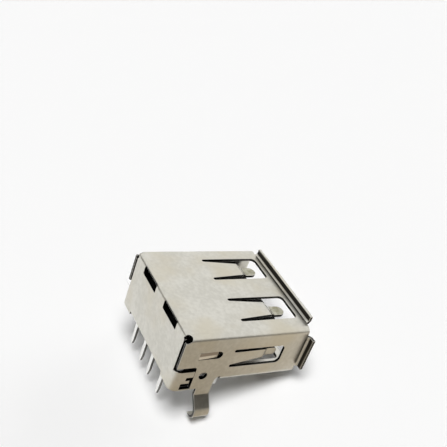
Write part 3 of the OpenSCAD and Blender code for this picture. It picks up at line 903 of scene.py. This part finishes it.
@dataclass(frozen=True)
class Recesses:
    """How open each spot of the part is, which tells slots and gaps from outer faces, and by which the finishes
    paint shade into them.

    Attributes:
        reach: Distance in metres past which nothing shuts a spot in.
        looks: Number of directions looked in from each spot.
        lift: Height in metres of a spot above its corner.
        inset: Distance in metres of a spot from its corner, towards the middle of its faces.
        inset_share: Most of the way to that middle that a spot goes.
        digits: Decimals to which normals are told apart.
        sliver: Height in metres of a face over its longest side below which its corners share one value.
    """

    reach: float = 2.0 * MM
    looks: int = 48
    lift: float = 0.004 * MM
    inset: float = 0.02 * MM
    inset_share: float = 1 / 3
    digits: int = 1
    sliver: float = 0.04 * MM

    def directions(self) -> np.ndarray:
        """Spread directions over the half sphere about +z, denser towards its pole.

        Seen from the pole, look k of n lies sqrt((k + 0.5) / n) from the middle and k golden angles round.

        Returns:
            One unit vector in each row.
        """
        k = np.arange(self.looks)
        radius = np.sqrt((k + 0.5) / self.looks)
        turn = k * math.pi * (3 - math.sqrt(5))
        return np.stack([radius * np.cos(turn), radius * np.sin(turn), np.sqrt(1 - radius**2)], 1)

    def spots(self, mesh: bpy.types.Mesh) -> tuple[np.ndarray, np.ndarray, np.ndarray]:
        """Find the spots to look from: one for the face corners that share a place and a normal.

        A spot is the corner plus lift times its normal plus a step of at most inset towards the mean middle
        of the faces there, so that a face beside a slot isn't taken for the slot's wall.

        Args:
            mesh: The mesh to look from.

        Returns:
            The spots, their normals, and the number of the spot of each face corner.
        """
        vert = np.array([loop.vertex_index for loop in mesh.loops])
        normal = np.array([corner.vector for corner in mesh.corner_normals])
        sizes = [face.loop_total for face in mesh.polygons]
        middle = np.repeat([face.center for face in mesh.polygons], sizes, axis=0)
        place = corners(mesh)[vert]
        keys = np.column_stack([vert, normal.round(self.digits)])
        _, first, owner = np.unique(keys, axis=0, return_index=True, return_inverse=True)
        owner = owner.ravel()
        count = np.bincount(owner)
        inward = np.stack([np.bincount(owner, way) / count for way in (middle - place).T], 1)
        length = np.maximum(np.linalg.norm(inward, axis=1, keepdims=True), TINY)
        step = inward / length * np.minimum(self.inset, length * self.inset_share)
        return place[first] + normal[first] * self.lift + step, normal[first], owner

    def evened(self, mesh: bpy.types.Mesh, value: np.ndarray) -> np.ndarray:
        """Give all corners of a sliver the value of its most open corner.

        A sliver's height is twice its area divided by its longest side.

        Args:
            mesh: The mesh.
            value: The openness of each face corner.

        Returns:
            The evened openness of each face corner.
        """
        sizes = np.array([face.loop_total for face in mesh.polygons])
        starts = np.array([face.loop_start for face in mesh.polygons])
        areas = np.array([face.area for face in mesh.polygons])
        ends = corners(mesh)[[edge.vertices[:] for edge in mesh.edges]]
        length = np.linalg.norm(ends[:, 0] - ends[:, 1], axis=1)[[loop.edge_index for loop in mesh.loops]]
        longest = np.maximum(np.maximum.reduceat(length, starts), TINY)
        thin = np.repeat(2 * areas / longest < self.sliver, sizes)
        most = np.repeat(np.maximum.reduceat(value, starts), sizes)
        return np.where(thin, most, value).astype(np.float32)

    def bake(self, pieces: list[bpy.types.Object]) -> None:
        """Write the share of free looks from each face corner into an attribute of its piece.

        Args:
            pieces: Every piece, each of which can shut in the others.
        """
        verts: list[Vector] = []
        faces: list[list[int]] = []
        for piece in pieces:
            start = len(verts)
            verts += [vert.co / MM for vert in piece.data.vertices]
            faces += [[start + i for i in face.vertices] for face in piece.data.polygons]
        tree = BVHTree.FromPolygons(verts, faces)
        fan = [Vector(row) for row in self.directions()]
        for piece in pieces:
            spots, normals, owner = self.spots(piece.data)
            share = np.empty(len(spots), np.float32)
            for i, (spot, normal) in enumerate(zip(spots / MM, normals)):
                turn = Vector(normal).to_track_quat("Z", "Y").to_matrix()
                start = Vector(spot)
                free = sum(tree.ray_cast(start, turn @ way, self.reach / MM)[3] is None for way in fan)
                share[i] = free / self.looks
            baked = piece.data.attributes.new(OPENNESS, "FLOAT", "CORNER")
            baked.data.foreach_set("value", self.evened(piece.data, share[owner]))
            log.info("%s: %d spots, openness %.2f on average", piece.name, len(share), share.mean())


@dataclass(frozen=True)
class PaleFloor(Finish):
    """A matt pale sheet under the part, which a camera below it looks through.

    Attributes:
        colour: Colour of the sheet.
    """

    colour: Colour = (0.98, 0.98, 0.98)
    name: str = "pale_floor"

    def draw(self, graph: Graph) -> bpy.types.Node:
        """Matt from above, and clear to the camera from below.

        Args:
            graph: The empty graph of the material.

        Returns:
            The shader node.
        """
        matt = graph.add("BsdfDiffuse", {"Color": (*self.colour, 1.0)})
        clear = graph.add("BsdfTransparent")
        below = graph.add("NewGeometry").outputs["Backfacing"]
        camera = graph.add("LightPath").outputs["Is Camera Ray"]
        return graph.either(graph.calculate("MULTIPLY", below, camera), matt, clear)


@dataclass(frozen=True)
class DarkRoom(Finish):
    """A dim glowing sheet behind the camera, seen only in reflections, which paints dark reflections into the
    metal.

    Attributes:
        colour: Colour of the room.
    """

    colour: Colour = (0.2, 0.19, 0.17)
    name: str = "dark_room"

    def draw(self, graph: Graph) -> bpy.types.Node:
        """An even dim glow."""
        return graph.glow(self.colour)


@dataclass(frozen=True)
class DarkCard(Finish):
    """A card that is dark in front and clear from behind, seen only in reflections, where it paints a dark
    reflection on the near leg.

    Attributes:
        colour: Colour of its front.
    """

    colour: Colour = (0.075, 0.071, 0.064)
    name: str = "dark_card"

    def draw(self, graph: Graph) -> bpy.types.Node:
        """An even dim glow in front, and nothing behind.

        Args:
            graph: The empty graph of the material.

        Returns:
            The shader node.
        """
        clear = graph.add("BsdfTransparent")
        behind = graph.add("NewGeometry").outputs["Backfacing"]
        return graph.either(behind, graph.glow(self.colour), clear)


@dataclass(frozen=True)
class WarmTable(Finish):
    """A glowing sheet beside the part, seen only in reflections, which paints the reflection on the part's near
    side, paler towards the mouth and dim far off.

    Attributes:
        back: Colour at the rear end of the part.
        front: Colour past the mouth.
        far: Colour far off.
        near_x: Where the near colours end, in metres.
        far_x: Where the far colour starts, in metres.
        back_y: Where the back colour ends, in metres.
        front_y: Where the front colour starts, in metres.
    """

    back: Colour = (0.5, 0.44, 0.355)
    front: Colour = (0.82, 0.76, 0.68)
    far: Colour = (0.14, 0.13, 0.115)
    near_x: float = -22.0 * MM
    far_x: float = -32.0 * MM
    back_y: float = -4.0 * MM
    front_y: float = -22.0 * MM
    name: str = "warm_table"

    def draw(self, graph: Graph) -> bpy.types.Node:
        """A glow that changes along the part and away from it.

        Args:
            graph: The empty graph of the material.

        Returns:
            The shader node.
        """
        backward = graph.step(graph.along(Axis.Y), self.front_y, self.back_y)
        nearer = graph.step(graph.along(Axis.X), self.far_x, self.near_x)
        return graph.glow(graph.blend(nearer, self.far, graph.blend(backward, self.front, self.back)))


@dataclass(frozen=True)
class Lamp:
    """A broad, far lamp that metal doesn't mirror.

    Attributes:
        name: Its name.
        strength: Irradiance in W/m2.
        origin: Direction that its light comes from.
        spread: Angle in degrees that it fills.
    """

    name: str
    strength: float
    origin: Point
    spread: float

    def hang(self) -> None:
        """Put the lamp in the scene."""
        light = bpy.data.lights.new(self.name, "SUN")
        light.energy = self.strength
        light.angle = math.radians(self.spread)
        lamp = bpy.data.objects.new(self.name, light)
        lamp.rotation_mode = "QUATERNION"
        lamp.rotation_quaternion = Vector(self.origin).to_track_quat("Z", "Y")
        lamp.visible_glossy = False
        bpy.context.scene.collection.objects.link(lamp)


@dataclass
class Studio:
    """Floor, lights, background and camera.

    Attributes:
        eye: Place of the camera in metres.
        aim: A point on the camera's axis in metres.
        roll: Turn of the picture about the camera's axis, in degrees.
        lens: Focal length in millimetres.
        sensor: Width of the sensor in millimetres.
        floor_size: Half the length of the floor in metres.
        lip_band: Distance in metres behind the mouth's edge within which a corner is at the mouth.
        room_radius: Distance of the room's wall in metres.
        room_turn: Where the wall starts and ends, in degrees from +X towards +Y.
        room_rise: Where the wall starts and ends above the horizon, in degrees.
        room_grid: Number of the wall's corners round the part and upwards.
        table_x: Where the table starts and ends, in metres.
        table_y: Where it starts and ends along the part, in metres.
        table_lift: Height of the table above the floor in metres.
        card_place: Middle of the dark card beside the near leg, in metres.
        card_facing: Direction that the card faces.
        card_size: Half the length of its sides in metres.
        lamps: The lamps.
        sky_strength: Strength of the even light from all round.
        sky: Colour of that light.
        backdrop: Strength of the background.
        first_bounce: Number of matt bounces below which a mirrored ray meets the background.
    """

    eye: Point = (-46.995 * MM, 31.386 * MM, 46.318 * MM)
    aim: Point = (16.340 * MM, -15.103 * MM, 3.0 * MM)
    roll: float = 20.32
    lens: float = 59.05
    sensor: float = 36.0
    floor_size: float = 2.0
    lip_band: float = 0.2 * MM
    room_radius: float = 0.5
    room_turn: Span = (5.0, 245.0)
    room_rise: Span = (-8.0, 16.0)
    room_grid: tuple[int, int] = (47, 17)
    table_x: Span = (-300.0 * MM, -7.6 * MM)
    table_y: Span = (-200.0 * MM, 12.0 * MM)
    table_lift: float = 0.2 * MM
    card_place: Point = (-17.3 * MM, -9.6 * MM, 5.5 * MM)
    card_facing: Point = (0.0, 0.0, -1.0)
    card_size: float = 9.5 * MM
    lamps: tuple[Lamp, ...] = (
        Lamp("key", 2.65, (-0.2, 0.35, 0.91), 32.0),
        Lamp("fill", 0.75, (0.15, -0.8, 0.6), 45.0),
    )
    sky_strength: float = 0.07
    sky: Colour = (1.0, 0.99, 0.97)
    backdrop: float = 1.0
    first_bounce: float = 0.5

    def put(self, name: str, verts: np.ndarray, faces: np.ndarray, finish: Finish) -> bpy.types.Object:
        """Put a piece of scenery in the scene.

        Args:
            name: Name of the piece.
            verts: Its corners in metres, one in each row.
            faces: Its faces, as rows of corner numbers.
            finish: Its finish.

        Returns:
            The new object.
        """
        mesh = bpy.data.meshes.new(name)
        mesh.from_pydata(verts.tolist(), [], faces.tolist())
        mesh.materials.append(finish.material())
        scenery = bpy.data.objects.new(name, mesh)
        bpy.context.scene.collection.objects.link(scenery)
        return scenery

    def mirrored_only(self, scenery: bpy.types.Object) -> None:
        """Show a piece of scenery to mirrored light alone.

        Args:
            scenery: The object.
        """
        scenery.visible_camera = False
        scenery.visible_diffuse = False
        scenery.visible_shadow = False

    def put_sloped(
        self, name: str, x: Span, y: Span, height: float, slope: float, finish: Finish
    ) -> bpy.types.Object:
        """Put a flat sheet in the scene, each corner of which lies at the height plus slope times its y.

        Args:
            name: Name of the sheet.
            x: Where it starts and ends across the part, in metres.
            y: Where it starts and ends along the part, in metres.
            height: Its height in metres where y is 0.
            slope: Its rise for each metre along y.
            finish: Its finish.

        Returns:
            The new object.
        """
        across, along = (grid.ravel() for grid in np.meshgrid(x, y))
        verts = np.stack([across, along, height + slope * along], 1)
        return self.put(name, verts, np.array([[0, 1, 3, 2]]), finish)

    def lay_floor(self, shell: bpy.types.Object) -> None:
        """Lay a flat floor that touches the legs' toes and the lower edge of the mouth, and the table on it.

        Its height is that of the toe plus slope times the distance forward of it, down to the lowest corner.

        Args:
            shell: The piece with the legs and the mouth.
        """
        points = corners(shell.data)
        toe = points[points[:, 2].argmin()]
        mouth = points[points[:, 1] < points[:, 1].min() + self.lip_band]
        lip = mouth[mouth[:, 2].argmin()]
        slope = (lip[2] - toe[2]) / (lip[1] - toe[1])
        height = (points[:, 2] - slope * points[:, 1]).min()
        ends = (-self.floor_size, self.floor_size)
        self.put_sloped("floor", ends, ends, height, slope, PaleFloor())
        lifted = height + self.table_lift
        # The table glows and shows only in reflections, where it paints the reflection on the near side.
        self.mirrored_only(self.put_sloped("table", self.table_x, self.table_y, lifted, slope, WarmTable()))
        log.info("floor slope %.1f degrees", math.degrees(math.atan(slope)))

    def raise_room(self) -> None:
        """Raise a part of a sphere behind the camera that only mirrored light meets.

        A corner lies at radius times (cos rise cos turn, cos rise sin turn, sin rise).
        """
        columns, rows = self.room_grid
        turns = np.radians(np.linspace(*self.room_turn, columns))
        rises = np.radians(np.linspace(*self.room_rise, rows))
        turn, rise = (grid.ravel() for grid in np.meshgrid(turns, rises))
        verts = np.stack([np.cos(rise) * np.cos(turn), np.cos(rise) * np.sin(turn), np.sin(rise)], 1)
        first = (np.arange(rows - 1)[:, None] * columns + np.arange(columns - 1)).ravel()
        faces = np.stack([first, first + columns, first + columns + 1, first + 1], 1)
        # The room glows dimly and shows only in reflections, where it paints dark reflections into the metal.
        self.mirrored_only(self.put("room", verts * self.room_radius, faces, DarkRoom()))

    def hang_card(self) -> None:
        """Hang a dark square card that the near leg mirrors, level and lower than the bend above the near side.

        That bend meets the card's clear back. A corner lies at the card's middle plus or minus its size along two
        directions across its facing.
        """
        turn = np.array(Vector(self.card_facing).to_track_quat("Z", "Y").to_matrix())
        across = np.array([[-1, -1, 0], [1, -1, 0], [1, 1, 0], [-1, 1, 0]]) @ turn.T
        verts = np.array(self.card_place) + across * self.card_size
        # The card shows only in reflections, where it paints a dark reflection on the near leg.
        self.mirrored_only(self.put("card", verts, np.array([[0, 1, 2, 3]]), DarkCard()))

    def hang_lights(self) -> None:
        """Hang the broad lamps, and light the rest evenly from all round."""
        for lamp in self.lamps:
            lamp.hang()
        world = bpy.data.worlds.new("studio")
        bpy.context.scene.world = world
        world.use_nodes = True
        graph = Graph(world.node_tree)
        light = graph.add("Background", {"Color": (*self.sky, 1.0), "Strength": self.sky_strength})
        seen = graph.add("Background", {"Color": (1.0, 1.0, 1.0, 1.0), "Strength": self.backdrop})
        path = graph.add("LightPath").outputs
        rays = graph.calculate("MAXIMUM", path["Is Camera Ray"], path["Is Glossy Ray"])
        rays = graph.calculate("MAXIMUM", rays, path["Is Transmission Ray"])
        first = graph.calculate("LESS_THAN", path["Diffuse Depth"], self.first_bounce)
        mix = graph.either(graph.calculate("MULTIPLY", rays, first), light, seen)
        graph.add("OutputWorld", {"Surface": mix.outputs[0]})

    def set_camera(self) -> None:
        """Point the camera along its axis, rolled as the photograph is."""
        lens = bpy.data.cameras.new("camera")
        lens.lens = self.lens
        lens.sensor_width = self.sensor
        lens.clip_start = MM
        camera = bpy.data.objects.new("camera", lens)
        back = (Vector(self.eye) - Vector(self.aim)).normalized()
        level = back.to_track_quat("Z", "Y").to_matrix()
        turned = Matrix.Rotation(math.radians(self.roll), 3, back) @ level
        camera.matrix_world = Matrix.Translation(self.eye) @ turned.to_4x4()
        bpy.context.scene.collection.objects.link(camera)
        bpy.context.scene.camera = camera


def corners(mesh: bpy.types.Mesh) -> np.ndarray:
    """Read all corners of a mesh.

    Args:
        mesh: The mesh.

    Returns:
        Its corners, as rows of x, y and z.
    """
    flat = np.empty(len(mesh.vertices) * 3, np.float32)
    mesh.vertices.foreach_get("co", flat)
    return flat.reshape(-1, 3)


def main() -> None:
    """Build the pieces, light them and note the sizes."""
    logging.basicConfig(level=logging.INFO, format="%(name)s: %(message)s")
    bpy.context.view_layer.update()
    shell = Shell().build()
    insulator = Insulator().build()
    contacts = [Contact(node=f"contact_{i + 1}").build() for i in range(CONTACTS)]
    Recesses().bake([shell, insulator, *contacts])
    studio = Studio()
    studio.lay_floor(shell)
    studio.raise_room()
    studio.hang_card()
    studio.hang_lights()
    studio.set_camera()
    bpy.context.scene.view_settings.view_transform = "Standard"


if __name__ == "__main__":
    main()
